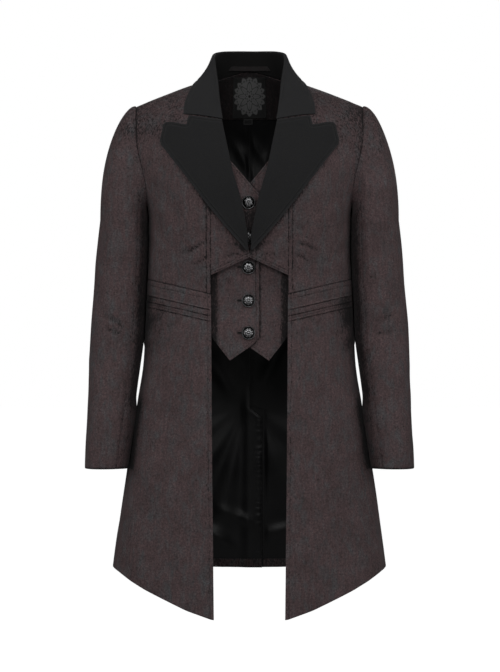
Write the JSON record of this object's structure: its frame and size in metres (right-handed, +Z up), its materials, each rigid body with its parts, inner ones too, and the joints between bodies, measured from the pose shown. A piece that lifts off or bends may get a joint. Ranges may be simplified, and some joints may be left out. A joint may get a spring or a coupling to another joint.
{
  "type": "gothic coat",
  "caption": "Fitted gothic tail coat with peak lapels, set-in sleeves, cutaway front, pintucks, mock waistcoat and back vent, filled out as worn.",
  "frame": {"origin": "on the centre line between the shoulders, 8 mm under the height of the shoulder seams at the neck, where the wearer's shoulders hold the coat", "axes": "+Z up, the front of the coat faces -Y, +X is the wearer's left"},
  "size_m": [0.5876, 0.2582, 1.0189],
  "materials": {
    "brocade": "matt brocade, dark red-brown and blue-grey mottling",
    "collar_cloth": "matt charcoal twill",
    "satin": "black satin",
    "label_cloth": "woven black ribbon",
    "antique_silver": "antique silver with a blackened ground"
  },
  "bodies": {
    "root": {"front_centre_R": "brocade", "front_centre_L": "brocade", "front_side_R": "brocade", "front_side_L": "brocade", "skirt_front_R": "brocade", "skirt_front_L": "brocade", "back_R": "brocade", "back_L": "brocade", "hem_facing_R": "brocade", "hem_facing_L": "brocade", "neck_facing": "brocade", "hanger_loop": "brocade", "sleeve_upper_R": "brocade", "sleeve_upper_L": "brocade", "sleeve_under_R": "brocade", "sleeve_under_L": "brocade", "waistcoat_front_R": "brocade", "waistcoat_front_L": "brocade", "collar": "collar_cloth", "lapel_R": "collar_cloth", "lapel_L": "collar_cloth", "back_lining_R": "satin", "back_lining_L": "satin", "neck_label": "label_cloth", "size_tag": "label_cloth", "waistcoat_button_1": "antique_silver", "waistcoat_button_2": "antique_silver", "waistcoat_button_3": "antique_silver", "waistcoat_button_4": "antique_silver", "waistcoat_button_5": "antique_silver"}
  },
  "joints": []
}
